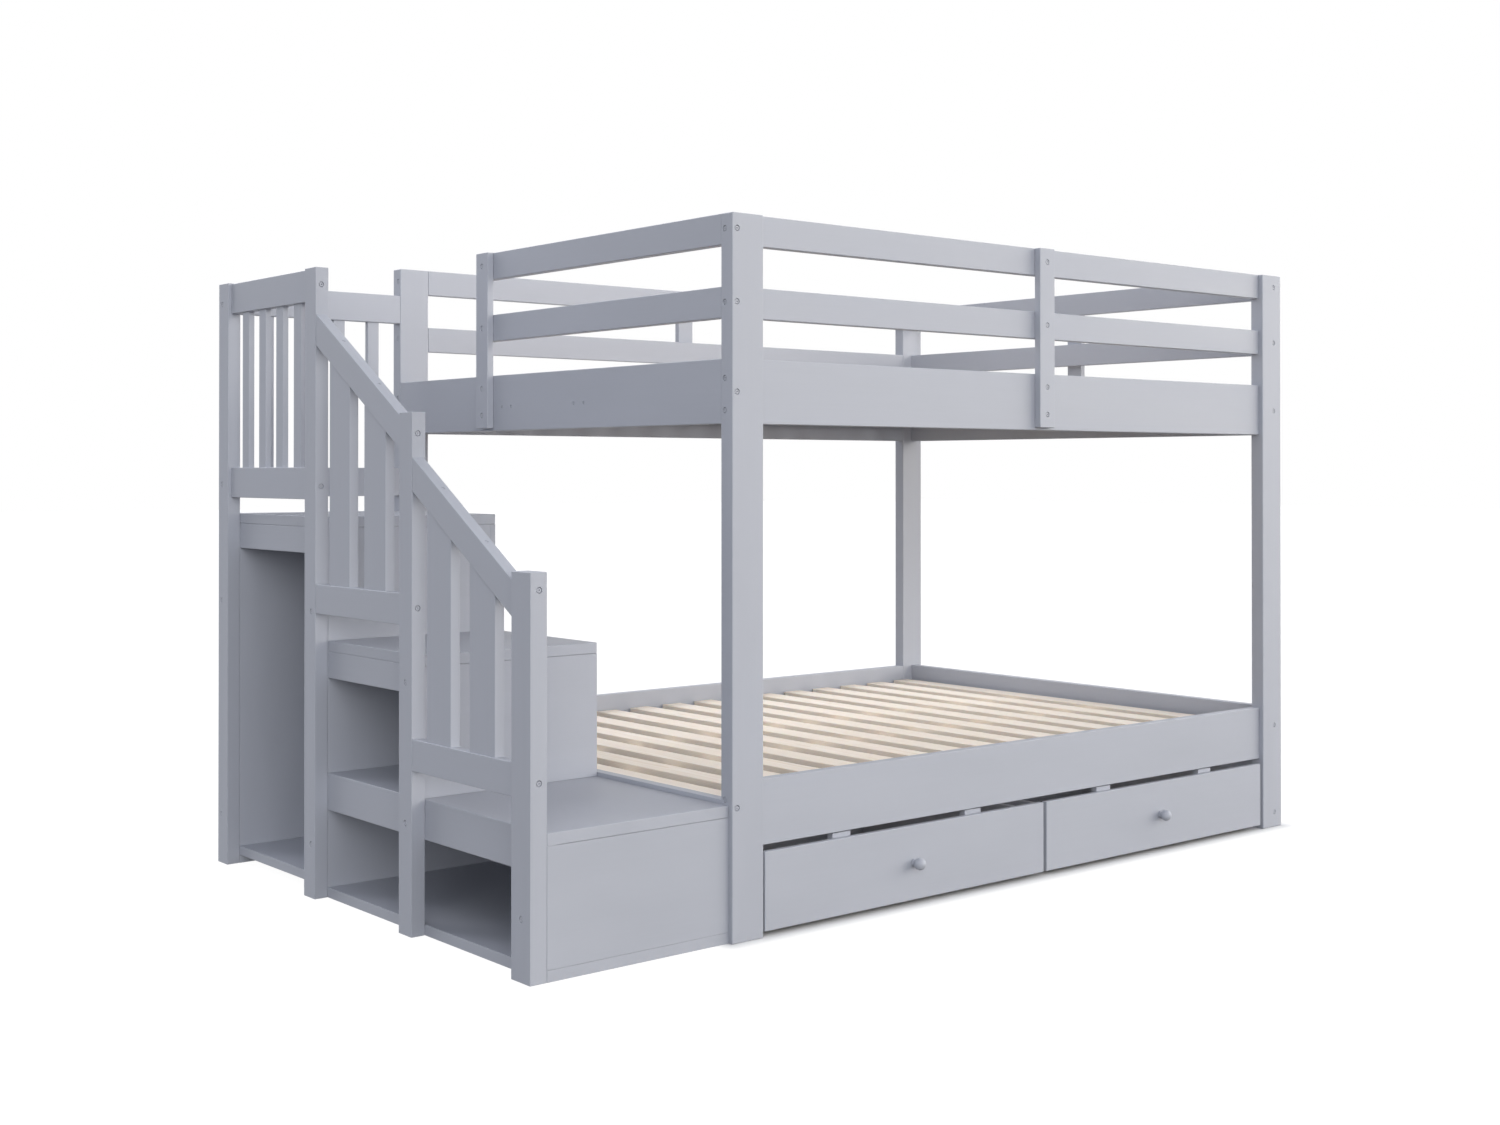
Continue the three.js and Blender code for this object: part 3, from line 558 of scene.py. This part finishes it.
# %% Slats and beams
SLAT = {"wide": 67 * MM, "count": 16, "left": 9.7 * MM, "right": 21.7 * MM, "edge": 1.6 * MM}
SLAT_PLAY = 0.8  # millimetres to either side
for level in ("lower", "upper"):
    low, high = span(f"{level}_slat_base")
    slats = []
    for x in np.linspace(low[0] + SLAT["left"], high[0] - SLAT["right"] - SLAT["wide"], SLAT["count"]):
        x += float(rng.uniform(-SLAT_PLAY, SLAT_PLAY)) * MM
        slats.append(board((x, low[1], high[2] - SLAT_THICK), (x + SLAT["wide"], high[1], high[2]),
                           SLAT["edge"]))
    make_piece(f"{level}_slats", slats, pine, "base", [f"{level}_slat_base"])
    middle_y = float(low[1] + high[1]) / 2
    beams = [board((low[0], y - BEAM["wide"] / 2, low[2]),
                   (high[0], y + BEAM["wide"] / 2, low[2] + BEAM["thick"]), SLAT["edge"])
             for y in (middle_y - BEAM["offset"], middle_y + BEAM["offset"])]
    make_piece(f"{level}_slat_beams", beams, pine, "base", [f"{level}_slat_base"])
print("two beds of", len(slats), "slats on", len(beams), "beams")

# %% [markdown]
# ## Drawers
# Each drawer is a low box on four wheels behind a painted front. Two battens stiffen the front and show
# as grey blocks in the dark slot above it. The sides and back are painted like the bed, and the bottom is
# a sheet of near-black hardboard: its dark colour is painted shade, put there to make the slot so dark.

# %% Drawer fronts with their battens
FRONT_THICK, FRONT_HIGH = 15 * MM, 170 * MM
BATTEN = {"offset": 212 * MM, "wide": 55 * MM, "bottom": 29 * MM}  # bottom: over the front's lower edge
for side in ("left", "right"):
    node = f"drawer_{side}_front"
    low, high = span(node)
    middle = float(low[0] + high[0]) / 2
    parts = [board(low, (high[0], low[1] + FRONT_THICK, low[2] + FRONT_HIGH))]
    for x in (middle - BATTEN["offset"], middle + BATTEN["offset"]):
        parts.append(board((x - BATTEN["wide"] / 2, low[1] + FRONT_THICK, low[2] + BATTEN["bottom"]),
                           (x + BATTEN["wide"] / 2, high[1], high[2])))
    painted(node, parts)
print("each front is", round(float(high[0] - low[0]), 3), "m wide")

# %% Drawer boxes
SIDE_THICK = 15 * MM
PIN_LONG = 16 * MM  # how far the wheel pins stand out at each side
BACK_LOWER = 4 * MM  # how far the back stays under the sides' top edges
BOTTOM = {"over": 6 * MM, "thick": 6 * MM, "lap": 4 * MM, "edge": 0.5 * MM}
for side in ("left", "right"):
    node = f"drawer_{side}_box"
    low, high = span(node)
    x0, x1 = low[0] + PIN_LONG, high[0] - PIN_LONG
    sides = [board((x, low[1], low[2]), (x + SIDE_THICK, high[1], high[2])) for x in (x0, x1 - SIDE_THICK)]
    back = board((x0 + SIDE_THICK, high[1] - SIDE_THICK, low[2] + 2 * MM),
                 (x1 - SIDE_THICK, high[1], high[2] - BACK_LOWER))
    painted(node, [*sides, back], "sides_and_back")
    under = low[2] + BOTTOM["over"]
    bottom = board((x0 + BOTTOM["lap"], low[1], under),
                   (x1 - BOTTOM["lap"], high[1] - BOTTOM["lap"], under + BOTTOM["thick"]), BOTTOM["edge"])
    # the bottom's near-black colour is painted shade for the slot above the drawers
    make_piece(f"{node}_bottom", [bottom], slot_shade_hardboard, body_of[node], [node])
print("each box is", round(float(x1 - x0), 3), "m wide and", round(float(high[1] - low[1]), 3), "m deep")

# %% [markdown]
# ## Knobs
# Each drawer has one round wooden knob, turned on a lathe in one piece with its foot and painted with the
# front. A sphere on a disc would lack the hollow neck between them, so the whole profile is worked out.

# %% Knobs
KNOB = {"foot": 9.5 * MM, "foot_long": 5 * MM, "ball": 14 * MM, "neck": 6.5 * MM, "ease": 1.2 * MM,
        "hollow": 1.6 * MM}
NECK_MARGIN, POLE_MARGIN = 0.16, 0.03  # radians of the ball left out at the neck and at the far pole


def knob(place, facing, long):
    """A turned ball knob: a foot with rounded edges, a hollow neck, and a ball.
    The foot's edges are quarter circles, the neck is a half sine between foot and ball, and the ball is
    an arc of a circle whose far side is at the knob's full length."""
    ease, foot, ball = KNOB["ease"], KNOB["foot"], KNOB["ball"]
    turn = np.linspace(0, np.pi / 2, 5)
    foot_r = np.concatenate([foot - ease + ease * np.sin(turn), foot - ease + ease * np.cos(turn)])
    foot_h = np.concatenate([ease * (1 - np.cos(turn)), KNOB["foot_long"] - ease + ease * np.sin(turn)])
    arc = np.linspace(math.asin(KNOB["neck"] / ball) + NECK_MARGIN, np.pi - POLE_MARGIN, 24)
    ball_r, ball_h = ball * np.sin(arc), long - ball - ball * np.cos(arc)
    share = np.linspace(0.12, 0.88, 6)
    neck_h = foot_h[-1] + (ball_h[0] - foot_h[-1]) * share
    neck_r = foot_r[-1] + (ball_r[0] - foot_r[-1]) * share - KNOB["hollow"] * np.sin(np.pi * share)
    return turned(np.concatenate([foot_r, neck_r, ball_r]), np.concatenate([foot_h, neck_h, ball_h]),
                  place, facing)


for side in ("left", "right"):
    node = f"drawer_{side}_knob"
    low, high = span(node)
    middle = (low + high) / 2
    part = knob((middle[0], high[1], middle[2]), (0, -1, 0), float(high[1] - low[1]))
    part["grain"] = grain_map(part["points"], (0, 1, 0))
    painted(node, [part], "turned")
print("each knob has", len(part["points"]), "points")

# %% [markdown]
# ## Wheels
# The wheels are moulded in one piece: a crowned tread, a dished web with eight ribs, and a hub. They turn
# on steel pins with a pressed head that keeps the wheel on. As the drawer is pulled out the ribs show
# that the wheels roll, which a plain disc would not.

# %% Wheels and their pins
RIBS, RIB_HIGH = 8, 0.5 * MM
HUB, BORE, CROWN = 7.5 * MM, 4.3 * MM, 0.6 * MM
RIM, WEB_DEEP, LEAN = 2.4 * MM, 2.4 * MM, 0.3 * MM  # the rim's thickness, the web's depth, the tread's lean
ROUNDING = 1.2 * MM  # left off the tread at each side
WHEEL_POINTS = 64  # in each ring, eight to a rib


def wheel(place, facing, radius, wide):
    """A moulded wheel as one closed profile: bore, inner face, crowned tread and ribbed outer web.
    The tread bulges by the crown times one minus the square of its place across the wheel, and the web's
    height swings with the cosine of eight times the angle."""
    across = np.linspace(-1, 1, 9)
    tread_r = radius - CROWN * across ** 2
    tread_h = wide / 2 + (wide / 2 - ROUNDING) * across + LEAN
    radii = [BORE, HUB, HUB, radius - RIM, *tread_r, radius - 2 * MM, radius - 3.2 * MM, HUB + 1.4 * MM,
             HUB, HUB - 0.6 * MM, BORE]
    heights = [0, 0, 1.5 * MM, 1.5 * MM, *tread_h, wide - 0.1 * MM, wide - WEB_DEEP, wide - WEB_DEEP,
               wide - 0.6 * MM, wide, wide]
    part = turned(radii, heights, place, facing, WHEEL_POINTS, closed=True)
    points = part["points"].reshape(len(heights), WHEEL_POINTS, 3)
    ribs = RIB_HIGH * (1 + np.cos(RIBS * 2 * np.pi * np.arange(WHEEL_POINTS) / WHEEL_POINTS))
    points[[len(heights) - 5, len(heights) - 4]] += ribs[:, None] * np.asarray(facing, float)
    part["points"] = points.reshape(-1, 3)
    return part


def wheel_pin(place, facing, long):
    """A steel pin with a pressed head: a straight shank and a low dome that keeps the wheel on."""
    radii = np.array([3.9, 3.9, 5.6, 5.8, 5.2, 3.0, 0.4]) * MM
    heights = np.array([0, long - 0.7 * MM, long - 0.7 * MM, long - 0.4 * MM, long - 0.15 * MM, long, long])
    return turned(radii, heights, place, facing, 32)


for drawer in ("left", "right"):
    pins = []
    box_low, box_high = span(f"drawer_{drawer}_box")
    for end, way in (("left", -1.0), ("right", 1.0)):
        for place in ("front", "back"):
            node = f"drawer_{drawer}_wheel_{place}_{end}"
            low, high = span(node)
            middle = (low + high) / 2
            near = high[0] if way < 0 else low[0]
            radius, wide = float(high[2] - low[2]) / 2, float(high[0] - low[0])
            part = wheel((near, middle[1], middle[2]), (way, 0, 0), radius, wide)
            make_piece(f"{node}_moulded", [part], nylon, body_of[node], [node])
            face = (box_high[0] - PIN_LONG) if way > 0 else (box_low[0] + PIN_LONG)
            pins.append(wheel_pin((face, middle[1], middle[2]), (way, 0, 0), PIN_LONG))
    make_piece(f"drawer_{drawer}_wheel_pins", pins, zinc, f"{drawer}_drawer")
print("wheels", round(2 * radius / MM), "mm across, with", RIBS, "ribs")

# %% [markdown]
# ## Staircase
# The staircase is three open boxes of growing height. Their treads and risers are plain boards; the first
# tread goes on as a shelf and has a deep lip of one piece with it, while the upper two treads lie on
# a separate apron, and the joint shows as a fine line. Four posts carry the guards. Board edges that meet
# flush are rounded less than free ones, or their joints would look like grooves.

# %% Stair posts
STAIR_EDGE = 1.2 * MM
slope_low, slope_high = span("stair_guard_upper")
slope_middle = float(slope_low[0] + slope_high[0]) / 2
STAIR_BOLTS = {  # under the post's top in front; over the floor at the side, and how far from the front
    "stair_post_1": ([35, 409], [123], 32),
    "stair_post_2": ([46, 419], [240, 540], 27),
    "stair_post_3": ([40, 510], [125, 666], 20),
    "stair_post_4": ([], [123, 665, 959, 1415], 35),
}
for node, (under, over, side_at) in STAIR_BOLTS.items():
    low, high = span(node)
    places = [((slope_middle, low[1], high[2] - z * MM), OUT["front"]) for z in under]
    places += [((low[0], low[1] + side_at * MM, z * MM), OUT["left"]) for z in over]
    post_with_seats(node, places, STAIR_EDGE)
print(len(bolt_places), "bolts with the staircase")

# %% Plain boards of the boxes
PLAIN = ["floor_board_low", "riser_1", "side_board_low", "riser_2", "side_board_middle", "riser_3_partition",
         "side_board_tall", "back_wall", "floor_board_high"]
FLUSH_EDGE = 0.6 * MM  # these boards meet flush
for node in PLAIN:
    painted(node, [board(*span(node), FLUSH_EDGE)])
print(len(PLAIN), "plain boards")

# %% Treads
TREAD_THICK, APRON_THICK, RISER_THICK = 25 * MM, 18 * MM, 18 * MM
TREAD_EDGE = 1.6 * MM
PAST = 5 * MM  # how far a cutter reaches past what it cuts


def block(low, high):
    """A plain box between two corners, for cutting."""
    (x0, y0, z0), (x1, y1, z1) = low, high
    corners = [(x, y, z) for z in (z0, z1) for x, y in ((x0, y0), (x1, y0), (x1, y1), (x0, y1))]
    return {"points": np.array(corners), "faces": grid_faces(2, 4) + [[3, 2, 1, 0], [4, 5, 6, 7]]}


low, high = span("tread_1_and_shelf")
under = high[2] - TREAD_THICK
section = [(under, low[0] + APRON_THICK), (low[2], low[0] + APRON_THICK), (low[2], low[0]), (high[2], low[0]),
           (high[2], high[0]), (under, high[0])]
points, faces = carried(section, "y", low[1], high[1], TREAD_EDGE)
part = {"points": points, "faces": faces, "grain": grain_map(points, (0, 1, 0))}
carve(painted("tread_1_and_shelf", [part]), part,
      [block(low - PAST, (low[0] + APRON_THICK + PAST, low[1] + RISER_THICK + FIT, under))])
for node, apron_end in (("tread_2", None), ("tread_3", "stair_post_4")):
    low, high = span(node)
    under = high[2] - TREAD_THICK
    apron_back = high[1] if apron_end is None else span(apron_end)[0][1] - FIT
    deck = board((low[0], low[1], under), high, TREAD_EDGE)
    apron = board((low[0], low[1] + RISER_THICK + FIT, low[2]), (low[0] + APRON_THICK, apron_back, under))
    painted(node, [deck, apron])
print("the top tread is", round(float(high[2]), 4), "m high and", round(float(high[1] - low[1]), 3), "m deep")

# %% [markdown]
# ## Guards of the staircase
# Two level guards fence the top step, and two sloping ones follow the stairs. A sloping rail is a board
# whose section has been sheared: every point rises in step with its distance along the stairs, which
# keeps its ends upright against the posts. Turning a board would leave its ends slanting.

# %% Level guards
GUARD = {"rail": 75 * MM, "slat_thick": 15 * MM, "count": 4, "seat": 6 * MM}
LEVEL = {  # the axis that the guard runs along, its slats' width, and what is left before and after them
    "stair_guard_side": (1, 37 * MM, 48.7 * MM, 55.7 * MM),
    "stair_guard_back": (0, 33 * MM, 60 * MM, 61.5 * MM),
}
for node, (along, slat, before, after) in LEVEL.items():
    low, high = span(node)
    parts = [board((low[0], low[1], z0), (high[0], high[1], z0 + GUARD["rail"]))
             for z0 in (low[2], high[2] - GUARD["rail"])]
    inset = (high - low)[1 - along] / 2 - GUARD["slat_thick"] / 2
    for at in np.linspace(low[along] + before, high[along] - after - slat, GUARD["count"]):
        start, end = low.copy(), high.copy()
        start[along], end[along] = at, at + slat
        start[1 - along] += inset
        end[1 - along] -= inset
        start[2] += GUARD["rail"] - GUARD["seat"]
        end[2] -= GUARD["rail"] - GUARD["seat"]
        parts.append(board(start, end))
    painted(node, parts)
print(len(LEVEL), "level guards of", len(parts), "boards each")

# %% Sloping guards
SLOPE, SLOPE_DEEP, LEVEL_RAIL = 0.62, 73 * MM, 68 * MM
SLOPE_SLAT = {"wide": 97 * MM, "outer": 3 * MM, "inner": 25.4 * MM}  # the last two: behind the rail's face
SLAT_MIDDLES = {"stair_guard_upper": [116 * MM, 282 * MM], "stair_guard_lower": [124 * MM, 295 * MM]}
slope_normal = np.array([0, -SLOPE, 1]) / math.hypot(SLOPE, 1)
for node, middles in SLAT_MIDDLES.items():
    low, high = span(node)
    top_low = high[2] - SLOPE * (high[1] - low[1])
    rail = board((low[0], low[1], top_low - SLOPE_DEEP), (high[0], high[1], top_low))
    rail["points"][:, 2] += SLOPE * (rail["points"][:, 1] - low[1])
    rail["grain"] = grain_map(rail["points"], (0, 1, SLOPE))
    screws = [((slope_middle, low[1] + middle, top_low + SLOPE * middle), slope_normal) for middle in middles]
    cut_seats(painted(node, [rail], "sloping_rail"), rail, screws, SMALL_SEAT)
    screw_places.extend(screws)
    parts = [board(low, (high[0], high[1], low[2] + LEVEL_RAIL))]
    for middle in middles:
        near, far = low[1] + middle - SLOPE_SLAT["wide"] / 2, low[1] + middle + SLOPE_SLAT["wide"] / 2
        top = top_low - SLOPE_DEEP + SLOPE * (far - low[1]) + GUARD["seat"]
        parts.append(board((low[0] + SLOPE_SLAT["outer"], near, low[2] + LEVEL_RAIL - GUARD["seat"]),
                           (low[0] + SLOPE_SLAT["inner"], far, top)))
    painted(node, parts, "slats_and_level_rail")
print(len(bolt_places), "bolts and", len(screw_places), "screws in all")

# %% [markdown]
# ## Bolt and screw heads
# A furniture bolt has a flat head with a hexagonal socket. Its rings are round outside and six-sided in
# the socket, so the radius there follows the hexagon's formula. The screws have a smaller head of the
# same form. Each head ends a little under the wood's face, and the narrow ring round it stays dark.

# %% Heads
HEAD_FACES = 24
BOLT_HEAD = {"radius": 5.0, "thick": 3.3, "socket": 1.5}  # millimetres; socket: half across its flats
SCREW_HEAD = {"radius": 2.8, "thick": 1.9, "socket": 0.9}


def head(place, facing, seat_deep, size):
    """A flat head with a hexagonal socket, standing on the bottom of its seat.
    The hexagon's radius is its half width over the cosine of the angle from the nearest flat's middle."""
    flat = np.pi / 3
    angle = 2 * np.pi * np.arange(HEAD_FACES) / HEAD_FACES
    hexagon = size["socket"] / np.cos((angle + flat / 2) % flat - flat / 2)
    round_, thick = size["radius"] * np.ones(HEAD_FACES), size["thick"]
    radii = np.stack([round_, round_, round_ - 0.35, hexagon + 0.15, hexagon, hexagon * 0.98]) * MM
    heights = np.array([0, thick - 0.35, thick, thick, thick - 0.2, 0.5]) * MM - seat_deep
    return turned(radii, heights, place, facing, HEAD_FACES)


bolts = [head(place, facing, SEAT["deep"], BOLT_HEAD) for place, facing in bolt_places]
make_piece("bolt_heads", bolts, enamel, "base")
screws = [head(place, facing, SMALL_SEAT["deep"], SCREW_HEAD) for place, facing in screw_places]
make_piece("screw_heads", screws, enamel, "base")
print(len(bolts), "bolt heads and", len(screws), "screw heads")

# %% [markdown]
# ## Camera
# The photograph's lines meet at points that give the camera's height, direction and lens. It stands at
# about a metre, to the left of the bed, turned 40 degrees to the right and looking level, and the frame
# is shifted down a little, as it is when a taller picture has been cropped.

# %% Camera
PHOTO = (1500, 1125)
FOCAL, CENTRE_ROW = 1807.81, 458.84  # pixels
EYE = (-2407.76, -2932.38, 994.53)  # millimetres, from the front left post's outer foot
TURN, TILT = 39.95, 0.36  # degrees to the right of straight ahead, and up
SENSOR = 36.0
camera_data = bpy.data.cameras.new("camera")
camera_data.sensor_width = SENSOR
camera_data.lens = FOCAL / PHOTO[0] * SENSOR
camera_data.shift_y = (CENTRE_ROW - PHOTO[1] / 2) / PHOTO[0]
camera = bpy.data.objects.new("camera", camera_data)
camera.location = span("post_front_left")[0] + np.array(EYE) * MM
camera.rotation_euler = (math.radians(90 + TILT), 0, math.radians(-TURN))
bpy.context.scene.collection.objects.link(camera)
bpy.context.scene.camera = camera
print("lens", round(camera_data.lens, 2), "mm, shift", round(camera_data.shift_y, 4))

# %% [markdown]
# ## Studio
# The bed stands on a pale floor under soft light. Two wide, low suns light its front from the left and
# from the right, one lights its right end, a higher one the slats from behind, and the world fills the
# rest. To the camera the floor and the sky are white, because they glow there, and next to the bed the
# floor goes back to its lit colour, which keeps the bed's shadow.

# %% Rays that see the white studio
def seen_rays(tree):
    """One for rays from the camera, off a shiny surface or through glass, and nought for lighting rays."""
    path = add(tree, "ShaderNodeLightPath").outputs
    seen = add(tree, "ShaderNodeMath", {}, {0: path["Is Camera Ray"], 1: path["Is Glossy Ray"]},
               operation="MAXIMUM")
    return add(tree, "ShaderNodeMath", {}, {0: seen, 1: path["Is Transmission Ray"]}, operation="MAXIMUM")


print("camera, glossy and transmission rays see the glow")

# %% Floor
FLOOR_HALF = 40.0
SHADOW_REACH, OPEN_GLOW = 0.04, 0.88  # metres past the bed's outline, and the glow's share from there on
floor_mesh = bpy.data.meshes.new("floor")
corners = [(x * FLOOR_HALF, y * FLOOR_HALF, 0) for x, y in ((-1, -1), (1, -1), (1, 1), (-1, 1))]
floor_mesh.from_pydata(corners, [], [[0, 1, 2, 3]])
floor = bpy.data.objects.new("floor", floor_mesh)
bpy.context.scene.collection.objects.link(floor)
floor_material = bpy.data.materials.new("studio_floor")
floor_material.use_nodes = True
tree = floor_material.node_tree
tree.nodes.clear()
seen = seen_rays(tree)
bed_low, bed_high = span("post_front_left")[0], span("post_back_right")[1]
place = add(tree, "ShaderNodeTexCoord").outputs["Object"]
offset = add(tree, "ShaderNodeVectorMath", {1: tuple((bed_low + bed_high) / 2)}, {0: place},
             operation="SUBTRACT")
aside = add(tree, "ShaderNodeVectorMath", {}, {0: offset}, operation="ABSOLUTE")
past = add(tree, "ShaderNodeVectorMath", {1: tuple((bed_high - bed_low) / 2)}, {0: aside},
           operation="SUBTRACT")
past = add(tree, "ShaderNodeVectorMath", {1: (0, 0, 0)}, {0: past}, operation="MAXIMUM")
away = add(tree, "ShaderNodeVectorMath", {}, {0: past}, operation="LENGTH").outputs["Value"]
matt = add(tree, "ShaderNodeBsdfDiffuse", {"Color": linear("#64615d")})
pale = add(tree, "ShaderNodeBsdfDiffuse", {"Color": linear("#e8e8e8")})
glow = add(tree, "ShaderNodeEmission", {"Color": (1, 1, 1, 1), "Strength": 1.1})
open_floor = add(tree, "ShaderNodeMapRange", {"From Max": SHADOW_REACH, "To Max": OPEN_GLOW}, {"Value": away})
shown = add(tree, "ShaderNodeMixShader", {}, {0: open_floor, 1: pale, 2: glow})
mix = add(tree, "ShaderNodeMixShader", {}, {0: seen, 1: matt, 2: shown})
add(tree, "ShaderNodeOutputMaterial", links={"Surface": mix})
floor_mesh.materials.append(floor_material)
print("the floor is", 2 * FLOOR_HALF, "m wide, and its material has", len(tree.nodes), "nodes")

# %% World
bpy.context.scene.view_settings.view_transform = "Standard"
world = bpy.data.worlds.new("studio")
world.use_nodes = True
bpy.context.scene.world = world
tree = world.node_tree
tree.nodes.clear()
seen = seen_rays(tree)
fill = add(tree, "ShaderNodeBackground", {"Color": linear("#eaf1ff"), "Strength": 0.54})
white = add(tree, "ShaderNodeBackground", {"Color": (1, 1, 1, 1), "Strength": 1.0})
mix = add(tree, "ShaderNodeMixShader", {}, {0: seen, 1: fill, 2: white})
add(tree, "ShaderNodeOutputWorld", links={"Surface": mix})
print("the world's fill is", round(fill.inputs["Strength"].default_value, 2))


# %% Lights
def sun(name, towards, strength, spread, colour="#ffffff"):
    """A sun whose light comes from a direction, with soft edges to its shadows."""
    data = bpy.data.lights.new(name, "SUN")
    data.energy, data.angle = strength, math.radians(spread)
    data.color = linear(colour)[:3]
    lamp = bpy.data.objects.new(name, data)
    direction = np.asarray(towards, float) / np.linalg.norm(towards)
    lamp.rotation_euler = (math.acos(direction[2]), 0, math.atan2(direction[1], direction[0]) + math.pi / 2)
    bpy.context.scene.collection.objects.link(lamp)
    return lamp


suns = [sun("front_left", (-0.5, -0.87, 0.14), 2.2, 60),
        sun("front_right", (0.77, -0.64, 0.14), 2.3, 60, "#fff8ec"),
        sun("right", (1.0, 0.0, 0.14), 2.0, 60),
        sun("back", (-0.1, 0.87, 0.6), 1.7, 45, "#f8f8ff")]
print(len(suns), "suns, together", round(sum(lamp.data.energy for lamp in suns), 2))
